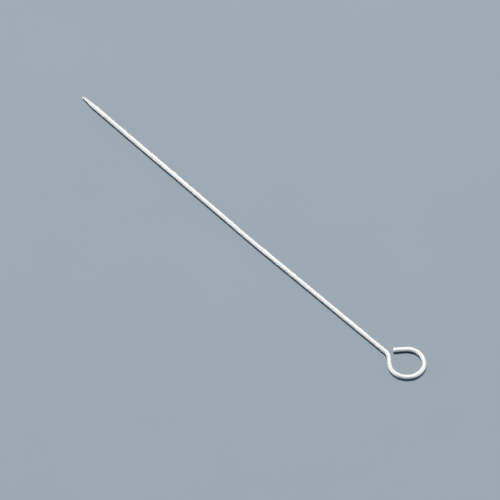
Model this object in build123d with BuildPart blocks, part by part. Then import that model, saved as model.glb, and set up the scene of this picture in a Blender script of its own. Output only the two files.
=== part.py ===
from build123d import *
from math import asin, atan2, cos, degrees, hypot, radians
import os

os.makedirs("parts", exist_ok=True)

# One drawn wire, pointed, cut and bent in one plane. Lengths are in mm, angles in degrees.
# Frame: X along the stem towards the eye, Z up from the bench, origin under the middle of the box.
WIRE_D = 0.6
OVERALL_LENGTH = 64.5

# Eye: a round ring whose two ends leave the circle on tangents
EYE_BORE = 4.0
EYE_ARC = 272.0
FREE_RUN = 1.55

# Neck: swings the wire off the stem's line, so that the eye sits nearly astride it
NECK_TURN = 40.0
NECK_RUN = 1.13
NECK_BEND_R = 1.4

# Stem: two straight lengths, with the faint set that the wire keeps from its coil
EYE_SIDE_LENGTH = 22.6
SET_ANGLE = 0.94
SET_R = 300.0

# Ground point with a rounded nose, and the cut end with its edge broken
POINT_LENGTH = 2.0
POINT_NOSE_R = 0.06
CUT_EDGE_R = 0.12

wire_r = WIRE_D / 2
eye_r = EYE_BORE / 2 + wire_r
eye_x = OVERALL_LENGTH / 2 - EYE_BORE / 2 - WIRE_D
nose_x = POINT_LENGTH - POINT_NOSE_R
point_taper = atan2(wire_r, nose_x) - asin(POINT_NOSE_R / hypot(nose_x, wire_r))

with BuildPart() as loop_wire:
    # Centre line, from the eye back through the neck to the shoulder of the point
    with BuildLine(Plane.XY.offset(wire_r)) as centre_line:
        eye = CenterArc((eye_x, 0), eye_r, -90 - NECK_TURN, EYE_ARC)
        free_run = PolarLine(eye @ 1, FREE_RUN, direction=eye % 1)
        neck_run = PolarLine(eye @ 0, NECK_RUN, direction=(eye % 0) * -1)
        neck_bend = JernArc(neck_run @ 1, neck_run % 1, NECK_BEND_R, NECK_TURN)
        eye_side = PolarLine(neck_bend @ 1, EYE_SIDE_LENGTH, direction=neck_bend % 1)
        coil_set = JernArc(eye_side @ 1, eye_side % 1, SET_R, -SET_ANGLE)
        shank_reach = (coil_set @ 1).X + OVERALL_LENGTH / 2
        shank_length = shank_reach / cos(radians(SET_ANGLE)) - POINT_LENGTH
        shank = PolarLine(coil_set @ 1, shank_length, direction=coil_set % 1)
    with BuildSketch(Plane(origin=free_run @ 1, z_dir=free_run % 1)):
        Circle(wire_r)
    sweep(path=centre_line.wires()[0])

    # Cut end
    cut_face = loop_wire.faces().sort_by_distance(free_run @ 1)[0]
    fillet(cut_face.edges(), CUT_EDGE_R)

    # Ground point on the far end of the stem: a cone that runs tangent into a ball
    with BuildSketch(Plane(origin=shank @ 1, x_dir=shank % 1, z_dir=(0, 0, 1))):
        with BuildLine():
            nose = CenterArc((nose_x, 0), POINT_NOSE_R, 0, 90 - degrees(point_taper))
            Polyline(nose @ 1, (0, wire_r), (0, 0), nose @ 0)
        make_face()
    revolve(axis=Axis(shank @ 1, shank % 1))

loop_wire.part.label = "loop_wire"
export_step(loop_wire.part, "parts/loop_wire.step")
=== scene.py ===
import math
from collections import namedtuple

import bpy
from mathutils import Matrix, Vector


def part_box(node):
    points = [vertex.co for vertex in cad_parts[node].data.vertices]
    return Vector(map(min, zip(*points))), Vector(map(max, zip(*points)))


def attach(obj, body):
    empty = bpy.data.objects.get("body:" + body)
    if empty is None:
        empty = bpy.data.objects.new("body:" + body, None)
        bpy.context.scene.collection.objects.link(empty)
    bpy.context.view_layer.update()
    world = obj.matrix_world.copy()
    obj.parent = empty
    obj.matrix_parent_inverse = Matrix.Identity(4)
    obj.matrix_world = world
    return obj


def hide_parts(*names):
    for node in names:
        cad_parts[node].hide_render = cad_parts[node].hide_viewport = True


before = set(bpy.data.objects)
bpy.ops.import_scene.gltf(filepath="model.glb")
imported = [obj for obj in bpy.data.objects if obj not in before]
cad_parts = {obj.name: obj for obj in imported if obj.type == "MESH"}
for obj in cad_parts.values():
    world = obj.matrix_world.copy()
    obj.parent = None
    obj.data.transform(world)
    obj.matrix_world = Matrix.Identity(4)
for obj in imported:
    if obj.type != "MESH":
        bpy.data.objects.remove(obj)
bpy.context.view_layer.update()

# ---------------------------------------------------------------- sizes, metres
MM = 0.001
NODE = "loop_wire"

# The CAD box gives the wire's thickness, the eye's width and the far side of the eye.
BOX_LOW, BOX_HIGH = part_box(NODE)
WIRE_R = (BOX_HIGH.z - BOX_LOW.z) / 2
EYE_R = (BOX_HIGH.y - BOX_LOW.y) / 2 - WIRE_R
EYE_CENTRE = Vector((BOX_HIGH.x - EYE_R - WIRE_R, (BOX_HIGH.y + BOX_LOW.y) / 2))
AXIS_Z = BOX_LOW.z + WIRE_R
MIDDLE = Vector((0, 0, AXIS_Z))

# The runs and bends between them, as the CAD source has them
EYE_ARC = math.radians(272)
FREE_RUN = 1.55 * MM
NECK_RUN = 1.13 * MM
NECK_TURN = math.radians(40)
NECK_BEND_R = 1.4 * MM
EYE_SIDE_LENGTH = 22.6 * MM
SET_ANGLE = math.radians(0.94)
SET_R = 300 * MM
POINT_LENGTH = 2.0 * MM
NOSE_R = 0.06 * MM
CUT_EDGE_R = 0.12 * MM

# Mesh density. A ring smaller than POLE_R is a single point.
SIDES = 48
STRAIGHT_STEP = 0.45 * MM
BEND_STEP = 0.09 * MM
FACE_RINGS = 5
EDGE_RINGS = 8
CONE_RINGS = 16
NOSE_RINGS = 6
POLE_R = 1e-9

# Bends: slightly oval, with soft ends
OVAL_IN_PLANE = 0.020
OVAL_ACROSS = 0.004
BEND_SOFT = 0.4 * MM

# Waver of a wire straightened from a coil: each wave's share, its rate over the stem and its phase
WANDER = 0.010 * MM
WAVES = ((1.0, 17.3, 0.6), (0.6, 41.9, 2.1))

# Sheared end: its slope, the burr on the side that parted last, and each part's share of the torn finish. The
# burr sets in at BURR_FROM, both as a share of the wire's radius and as a cosine round the wire.
SHEAR_SLOPE = math.tan(math.radians(3))
BURR = 0.010 * MM
BURR_FROM = 0.7
TORN = {"cut": 1.0, "edge": 0.5}

# Shallow flats from the bending tool's pins: on which run, from its start (0) or its end (1), how far on, and
# the angle round the wire from its left. FLAT_FROM is where each sets in, a cosine round the wire.
FLAT_DEPTH = 0.008 * MM
FLAT_LENGTH = 0.35 * MM
FLAT_FROM = 0.75
PIN_MARKS = (
    ("neck_bend", 0, -0.45 * MM, 0.0),
    ("neck_bend", 0, 0.35 * MM, math.pi),
    ("neck_bend", 1, 0.55 * MM, 0.0),
    ("eye", 1, -0.8 * MM, math.pi),
)

# ---------------------------------------------------------------- the wire's finish
BRIGHT = (0.80, 0.79, 0.775, 1)
DULL = (0.52, 0.52, 0.525, 1)
WARM = (0.80, 0.785, 0.76, 1)
SPECK = (0.42, 0.41, 0.40, 1)
TORN_GREY = (0.66, 0.66, 0.67, 1)

# Patterns, on the wire's own mm as if unbent: stretch across, up and along, then scale, detail and roughness
FINE_LINES = ((1, 1, 0.02), 34.0, 3.0, 0.6)
BROAD_LINES = ((1, 1, 0.03), 9.0, 2.0, 0.5)
SCRATCHES = ((1, 1, 0.04), 17.0, 1.0, 0.5)
CLOUDS = ((1, 1, 1), 0.45, 3.0, 0.6)
SPECKS = ((1, 1, 0.35), 9.0, 4.0, 0.7)
RUBS = ((4.0, 4.0, 14.0), 1.6, 4.0, 0.7)
GRINDING = ((1.5, 1.5, 30.0), 1.0, 4.0, 0.65)
TEARS = ((3.0, 30.0, 30.0), 3.0, 3.0, 0.6)

# Where a pattern sets in, and where it is full
SCRATCH_RANGE = (0.66, 0.72)
SPECK_RANGE = (0.60, 0.68)
TONE_RANGE = (0.38, 0.62)
ROUGH_RANGE = (0.36, 0.64)
CLOUD_TINT_RANGE = (0.3, 0.7)
CLOUD_ROUGH_RANGE = (0.35, 0.7)

# The two sorts of line, and how much each other pattern counts in the tone
FINE_SHARE = 0.6
BROAD_SHARE = 0.4
CLOUD_TINT = 0.35
SPECK_TINT = 0.45
TORN_TINT = 0.6

# Roughness on the bright lines and between them, and what the other patterns add to it
ROUGH_LINES = 0.27
ROUGH_BETWEEN = 0.42
CLOUD_SMOOTHS = -0.03
CLOUD_ROUGHENS = 0.05
SPECK_ROUGHENS = 0.12
RUB_ROUGHENS = 0.14
TORN_ROUGHENS = 0.12

# Depth of the lines, and the other patterns' depths and heights as shares of it
LINE_DEPTH = 0.032 * MM
SCRATCH_DEPTH = 0.35
SPECK_DEPTH = 0.08
RUB_HEIGHT = 0.12
GRIND_HEIGHT = 0.5
TEAR_HEIGHT = 0.5

# ---------------------------------------------------------------- camera and studio
# The camera's place round the object, and where its aim is off the middle of the box
CAMERA_AZIMUTH = math.radians(45.9)
CAMERA_ELEVATION = math.radians(53.2)
CAMERA_LENS = 1000.0
CAMERA_SENSOR = 36.0
VIEW_WIDTH = 66.52 * MM
AIM_RIGHT = -0.1 * MM
AIM_UP = -2.1 * MM

# What the camera can see, in shares of its distance
CLIP_NEAR = 0.01
CLIP_FAR = 10.0

# A soft lamp high behind the object, a low one on each side, and a dim white sky, brightest behind the object
SKY_COLOUR = (0.97, 0.985, 1.0, 1)
SKY_LOW = 0.05
SKY_HIGH = 0.9
SKY_PEAK_ELEVATION = math.radians(55)
KEY_COLOUR = (1.0, 0.99, 0.97)
KEY_WATTS = 110.0
KEY_SIZE = 0.4
KEY_DISTANCE = 1.2
KEY_SIDE = math.radians(6)
KEY_ELEVATION = math.radians(62)
SIDE_COLOUR = (1.0, 1.0, 1.0)
SIDE_WATTS = 18.0
SIDE_SIZE = 0.5
SIDE_DISTANCE = 1.0
SIDE_TURN = math.radians(85)
SIDE_ELEVATION = math.radians(12)

# The sheet under the object, grey-blue, with a faint mottle of that scale, detail and roughness
SHEET_HALF = 6.0
SHEET_COLOUR = (0.047, 0.0622, 0.0802)
MOTTLE = (60.0, 3.0, 0.5)
MOTTLE_LIGHT = 1.04
MOTTLE_DARK = 0.96


# ---------------------------------------------------------------- centre line
Run = namedtuple("Run", "name start length turn place heading")


def direction(angle):
    return Vector((math.cos(angle), math.sin(angle)))


def advance(place, heading, length, turn):
    """The place and heading after a straight run, or after an arc that turns by that angle."""
    if turn == 0:
        return place + length * direction(heading), heading
    chord = 2 * length / turn * math.sin(turn / 2)
    return place + chord * direction(heading + turn / 2), heading + turn


class CentreLine:
    """The wire's middle in plan, measured along the wire from its cut end to the tip of its point."""

    def __init__(self):
        arc_end = EYE_ARC - math.pi / 2 - NECK_TURN
        heading = arc_end - math.pi / 2
        place = EYE_CENTRE + EYE_R * direction(arc_end) - FREE_RUN * direction(heading)
        self.runs = []
        self.length = 0.0
        for name, length, turn in (
            ("free_run", FREE_RUN, 0),
            ("eye", EYE_R * EYE_ARC, -EYE_ARC),
            ("neck_run", NECK_RUN, 0),
            ("neck_bend", NECK_BEND_R * NECK_TURN, NECK_TURN),
            ("eye_side", EYE_SIDE_LENGTH, 0),
            ("coil_set", SET_R * SET_ANGLE, -SET_ANGLE),
        ):
            place, heading = self.add(name, length, turn, place, heading)
        to_tip = (place.x - BOX_LOW.x) / abs(math.cos(heading))
        self.add("shank", to_tip, 0, place, heading)

    def add(self, name, length, turn, place, heading):
        self.runs.append(Run(name, self.length, length, turn, place, heading))
        self.length += length
        return advance(place, heading, length, turn)

    def span(self, wanted):
        """Where a run starts and ends."""
        run = next(run for run in self.runs if run.name == wanted)
        return run.start, run.start + run.length

    def at(self, s):
        """The place and heading at a distance along the wire."""
        run = next((run for run in self.runs if s <= run.start + run.length), self.runs[-1])
        done = s - run.start
        return advance(run.place, run.heading, done, run.turn * done / run.length)


# ---------------------------------------------------------------- the wire's mesh
def smooth(low, high, value):
    t = min(max((value - low) / (high - low), 0.0), 1.0)
    return t * t * (3 - 2 * t)


def near(value, middle, reach):
    """1 at the middle, falling smoothly to 0 at that reach."""
    return 1 - smooth(0.0, reach, abs(value - middle))


def bent(line, s):
    """1 on the tight bends and 0 on the straight runs, with soft ends."""
    amount = 0.0
    for name in ("eye", "neck_bend"):
        start, end = line.span(name)
        begun = smooth(start - BEND_SOFT, start + BEND_SOFT, s)
        over = smooth(end - BEND_SOFT, end + BEND_SOFT, s)
        amount = max(amount, begun * (1 - over))
    return amount


def wander(line, s):
    """The sideways waver of the stem, which fades out at its neck and at its tip."""
    start = line.span("eye_side")[0]
    t = (s - start) / (line.length - start)
    if t <= 0:
        return 0.0
    ends = math.sin(math.pi * min(t, 1.0))
    return WANDER * ends * sum(share * math.sin(rate * t + phase) for share, rate, phase in WAVES)


def pin_marks(line):
    """The middle of each flat, as a distance along the wire, and the side that it is on."""
    return [(line.span(run)[end] + offset, facing) for run, end, offset, facing in PIN_MARKS]


def stations(line):
    """Distance along the wire, radius and part for each ring, from the cut face's middle to the nose."""
    rings = []
    flat_r = WIRE_R - CUT_EDGE_R
    for k in range(FACE_RINGS + 1):
        rings.append((0.0, flat_r * k / FACE_RINGS, "cut"))
    for k in range(1, EDGE_RINGS + 1):
        a = math.pi / 2 * k / EDGE_RINGS
        rings.append((CUT_EDGE_R * (1 - math.cos(a)), flat_r + CUT_EDGE_R * math.sin(a), "edge"))

    shoulder = line.length - POINT_LENGTH
    for run in line.runs:
        tight = run.name not in ("eye_side", "coil_set", "shank")
        low = max(run.start, CUT_EDGE_R)
        high = min(run.start + run.length, shoulder)
        count = max(1, math.ceil((high - low) / (BEND_STEP if tight else STRAIGHT_STEP)))
        for k in range(1, count + 1):
            rings.append((low + (high - low) * k / count, WIRE_R, "drawn"))

    reach = POINT_LENGTH - NOSE_R
    taper = math.atan2(WIRE_R, reach) - math.asin(NOSE_R / math.hypot(reach, WIRE_R))
    cone_end = line.length - NOSE_R + NOSE_R * math.sin(taper)
    cone_r = NOSE_R * math.cos(taper)
    for k in range(1, CONE_RINGS + 1):
        t = k / CONE_RINGS
        rings.append((shoulder + (cone_end - shoulder) * t, WIRE_R + (cone_r - WIRE_R) * t, "ground"))
    for k in range(1, NOSE_RINGS + 1):
        a = taper + (math.pi / 2 - taper) * k / NOSE_RINGS
        rings.append((line.length - NOSE_R + NOSE_R * math.sin(a), NOSE_R * math.cos(a), "ground"))
    return rings


def ring_points(line, marks, s, radius, part):
    """The points of one ring, and each one's place in mm on the wire as if it were unbent."""
    oval = bent(line, s)
    place, heading = line.at(s)
    side = direction(heading + math.pi / 2)
    along = direction(heading)
    waver = wander(line, s)
    points, unbent = [], []
    for k in range(SIDES):
        phi = 2 * math.pi * k / SIDES
        across = radius * math.cos(phi) * (1 - OVAL_IN_PLANE * oval)
        up = radius * math.sin(phi) * (1 + OVAL_ACROSS * oval)
        back = 0.0
        if part in TORN:
            burr = BURR * smooth(BURR_FROM, 1.0, -math.cos(phi)) * smooth(BURR_FROM, 1.0, radius / WIRE_R)
            back = SHEAR_SLOPE * across - burr
        for middle, facing in marks:
            faced = smooth(FLAT_FROM, 1.0, math.cos(phi - facing))
            across -= FLAT_DEPTH * near(s, middle, FLAT_LENGTH) * faced * math.cos(facing)
        flat = place + side * (across + waver) + along * back
        points.append((flat.x, flat.y, AXIS_Z + up))
        unbent.append((across / MM, up / MM, (s + back) / MM))
    return points, unbent


def wire_mesh(line):
    marks = pin_marks(line)
    points, unbent, worked, first = [], [], [], []
    for s, radius, part in stations(line):
        first.append(len(points))
        ring, place = ring_points(line, marks, s, radius, part)
        if radius < POLE_R:
            ring, place = ring[:1], place[:1]
        points += ring
        unbent += place
        worked += [(bent(line, s), float(part == "ground"), TORN.get(part, 0.0))] * len(ring)
    first.append(len(points))

    faces = []
    for a, b, after in zip(first, first[1:], first[2:]):
        for k in range(SIDES):
            j = (k + 1) % SIDES
            if b - a == 1:
                faces.append((a, b + k, b + j))
            elif after - b == 1:
                faces.append((a + j, a + k, b))
            else:
                faces.append((a + k, b + k, b + j, a + j))
    mesh = bpy.data.meshes.new("drawn_loop_wire")
    mesh.from_pydata(points, [], faces)
    mesh.shade_smooth()
    for name, values in (("unbent_mm", unbent), ("worked", worked)):
        layer = mesh.attributes.new(name, "FLOAT_VECTOR", "POINT")
        layer.data.foreach_set("vector", [c for v in values for c in v])
    mesh.update()
    return mesh


# ---------------------------------------------------------------- materials
class Nodes:
    """A material's node tree, built by short calls."""

    def __init__(self, name):
        self.material = bpy.data.materials.new(name)
        self.material.use_nodes = True
        self.tree = self.material.node_tree
        self.shader = self.tree.nodes["Principled BSDF"]

    def add(self, kind, inputs=(), **settings):
        made = self.tree.nodes.new(kind)
        for key, value in settings.items():
            setattr(made, key, value)
        for key, value in dict(inputs).items():
            self.put(value, made.inputs[key])
        return made

    def put(self, value, socket):
        if isinstance(value, bpy.types.NodeSocket):
            self.tree.links.new(value, socket)
        else:
            socket.default_value = value

    def attribute(self, name):
        return self.add("ShaderNodeAttribute", attribute_name=name).outputs["Vector"]

    def parts(self, vector):
        return self.add("ShaderNodeSeparateXYZ", {0: vector}).outputs

    def scaled(self, vector, scale):
        return self.add("ShaderNodeVectorMath", {0: vector, 1: scale}, operation="MULTIPLY").outputs[0]

    def noise(self, vector, scale, detail, roughness):
        inputs = {"Vector": vector, "Scale": scale, "Detail": detail, "Roughness": roughness}
        return self.add("ShaderNodeTexNoise", inputs).outputs["Fac"]

    def pattern(self, place, settings):
        stretch, scale, detail, roughness = settings
        return self.noise(self.scaled(place, stretch), scale, detail, roughness)

    def math(self, operation, a, b=0.0, clamp=False):
        return self.add("ShaderNodeMath", {0: a, 1: b}, operation=operation, use_clamp=clamp).outputs[0]

    def add_share(self, value, share, *factors, operation="ADD", clamp=False):
        """The value with that share of the factors' product added to it or taken from it."""
        product = factors[0]
        for factor in factors[1:]:
            product = self.math("MULTIPLY", product, factor)
        return self.math(operation, value, self.math("MULTIPLY", product, share), clamp=clamp)

    def between(self, value, span, to_low=0.0, to_high=1.0):
        """The value's smooth step over that span, from one level to the other."""
        low, high = span
        inputs = {"Value": value, "From Min": low, "From Max": high, "To Min": to_low, "To Max": to_high}
        return self.add("ShaderNodeMapRange", inputs, interpolation_type="SMOOTHSTEP").outputs["Result"]

    def mix(self, amount, a, b):
        """Colour a, going over to colour b. The node's sockets 0, 6 and 7 are the amount and the colours."""
        return self.add("ShaderNodeMix", {0: amount, 6: a, 7: b}, data_type="RGBA").outputs[2]


def wire_material():
    """Drawn wire: die lines along it, slow changes of tone, rubbed bends, a ground point and a torn end."""
    n = Nodes("drawn_wire")
    unbent = n.attribute("unbent_mm")
    rubbed, ground, torn = n.parts(n.attribute("worked"))

    fine = n.pattern(unbent, FINE_LINES)
    broad = n.pattern(unbent, BROAD_LINES)
    scratch = n.between(n.pattern(unbent, SCRATCHES), SCRATCH_RANGE)
    cloud = n.pattern(unbent, CLOUDS)
    specks = n.between(n.pattern(unbent, SPECKS), SPECK_RANGE)
    rub = n.pattern(unbent, RUBS)
    grind = n.pattern(unbent, GRINDING)
    tear = n.pattern(unbent, TEARS)

    drawn = n.math("SUBTRACT", 1.0, n.math("MAXIMUM", ground, torn))
    lines = n.math("ADD", n.math("MULTIPLY", fine, FINE_SHARE), n.math("MULTIPLY", broad, BROAD_SHARE))
    tone = n.mix(n.between(lines, TONE_RANGE), DULL, BRIGHT)
    tone = n.mix(n.between(cloud, CLOUD_TINT_RANGE, 0.0, CLOUD_TINT), tone, WARM)
    tone = n.mix(n.math("MULTIPLY", specks, SPECK_TINT), tone, SPECK)
    tone = n.mix(n.math("MULTIPLY", torn, TORN_TINT), tone, TORN_GREY)
    n.put(tone, n.shader.inputs["Base Color"])
    n.shader.inputs["Metallic"].default_value = 1.0

    rough = n.between(lines, ROUGH_RANGE, ROUGH_BETWEEN, ROUGH_LINES)
    clouded = n.between(cloud, CLOUD_ROUGH_RANGE, CLOUD_SMOOTHS, CLOUD_ROUGHENS)
    rough = n.math("ADD", rough, clouded)
    rough = n.add_share(rough, SPECK_ROUGHENS, specks)
    rough = n.add_share(rough, RUB_ROUGHENS, rub, rubbed)
    rough = n.add_share(rough, TORN_ROUGHENS, torn, clamp=True)
    n.put(rough, n.shader.inputs["Roughness"])

    height = n.math("MULTIPLY", lines, drawn)
    height = n.add_share(height, SCRATCH_DEPTH, scratch, drawn, operation="SUBTRACT")
    height = n.add_share(height, SPECK_DEPTH, specks, operation="SUBTRACT")
    height = n.add_share(height, RUB_HEIGHT, rub, rubbed)
    height = n.add_share(height, GRIND_HEIGHT, grind, ground)
    height = n.add_share(height, TEAR_HEIGHT, tear, torn)
    bump = n.add("ShaderNodeBump", {"Strength": 1.0, "Distance": LINE_DEPTH, "Height": height})
    n.put(bump.outputs[0], n.shader.inputs["Normal"])
    return n.material


def sheet_material():
    """A smooth pale grey-blue sheet, faintly mottled."""
    n = Nodes("pale_sheet")
    place = n.add("ShaderNodeTexCoord").outputs["Object"]
    mottle = n.noise(place, *MOTTLE)
    light, dark = ([c * k for c in SHEET_COLOUR] + [1] for k in (MOTTLE_LIGHT, MOTTLE_DARK))
    n.put(n.mix(mottle, dark, light), n.shader.inputs["Base Color"])
    n.shader.inputs["Roughness"].default_value = 1.0
    n.shader.inputs["Specular IOR Level"].default_value = 0.0
    return n.material


# ---------------------------------------------------------------- the object
def make_wire():
    wire = bpy.data.objects.new("drawn_loop_wire", wire_mesh(CentreLine()))
    bpy.context.scene.collection.objects.link(wire)
    wire.data.materials.append(wire_material())
    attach(wire, "root")
    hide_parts(NODE)


# ---------------------------------------------------------------- the stage
def make_floor():
    mesh = bpy.data.meshes.new("floor")
    corners = [(x * SHEET_HALF, y * SHEET_HALF, 0) for x, y in ((-1, -1), (1, -1), (1, 1), (-1, 1))]
    mesh.from_pydata(corners, [], [(0, 1, 2, 3)])
    floor = bpy.data.objects.new("floor", mesh)
    floor.location.z = BOX_LOW.z
    bpy.context.scene.collection.objects.link(floor)
    floor.data.materials.append(sheet_material())


def outward(azimuth, elevation):
    """The direction from the object to a camera at that azimuth and elevation."""
    flat = math.cos(elevation)
    return Vector((math.sin(azimuth) * flat, -math.cos(azimuth) * flat, math.sin(elevation)))


def make_light(name, azimuth, elevation, distance, size, watts, colour):
    data = bpy.data.lights.new(name, "AREA")
    data.shape = "DISK"
    data.size = size
    data.energy = watts
    data.color = colour
    lamp = bpy.data.objects.new(name, data)
    lamp.location = MIDDLE + outward(azimuth, elevation) * distance
    lamp.rotation_mode = "QUATERNION"
    lamp.rotation_quaternion = (-lamp.location).to_track_quat("-Z", "Y")
    bpy.context.scene.collection.objects.link(lamp)


def make_lights():
    behind = CAMERA_AZIMUTH + math.pi
    make_light("key", behind + KEY_SIDE, KEY_ELEVATION, KEY_DISTANCE, KEY_SIZE, KEY_WATTS, KEY_COLOUR)
    for name, turn in (("right", -SIDE_TURN), ("left", SIDE_TURN)):
        make_light(name, behind + turn, SIDE_ELEVATION, SIDE_DISTANCE, SIDE_SIZE, SIDE_WATTS, SIDE_COLOUR)
    bpy.context.scene.world = make_sky(outward(behind, SKY_PEAK_ELEVATION))


def make_sky(peak):
    """A dim white sky that is brightest in one direction and darkest in the opposite one."""
    world = bpy.data.worlds.new("studio")
    world.use_nodes = True
    tree = world.node_tree
    facing = tree.nodes.new("ShaderNodeTexCoord")
    towards = tree.nodes.new("ShaderNodeVectorMath")
    towards.operation = "DOT_PRODUCT"
    towards.inputs[1].default_value = peak
    level = tree.nodes.new("ShaderNodeMapRange")
    level.inputs["From Min"].default_value = -1.0
    level.inputs["To Min"].default_value = SKY_LOW
    level.inputs["To Max"].default_value = SKY_HIGH
    background = tree.nodes["Background"]
    background.inputs["Color"].default_value = SKY_COLOUR
    tree.links.new(facing.outputs["Generated"], towards.inputs[0])
    tree.links.new(towards.outputs["Value"], level.inputs["Value"])
    tree.links.new(level.outputs[0], background.inputs["Strength"])
    return world


def make_camera():
    data = bpy.data.cameras.new("camera")
    data.lens = CAMERA_LENS
    data.sensor_width = CAMERA_SENSOR
    distance = VIEW_WIDTH * CAMERA_LENS / CAMERA_SENSOR
    camera = bpy.data.objects.new("camera", data)
    back = outward(CAMERA_AZIMUTH, CAMERA_ELEVATION)
    turn = back.to_track_quat("Z", "Y")
    aim = MIDDLE + turn @ Vector((AIM_RIGHT, AIM_UP, 0))
    camera.location = aim + back * distance
    camera.rotation_mode = "QUATERNION"
    camera.rotation_quaternion = turn
    data.clip_start = distance * CLIP_NEAR
    data.clip_end = distance * CLIP_FAR
    bpy.context.scene.collection.objects.link(camera)
    bpy.context.scene.camera = camera


make_camera()
make_wire()
make_floor()
make_lights()
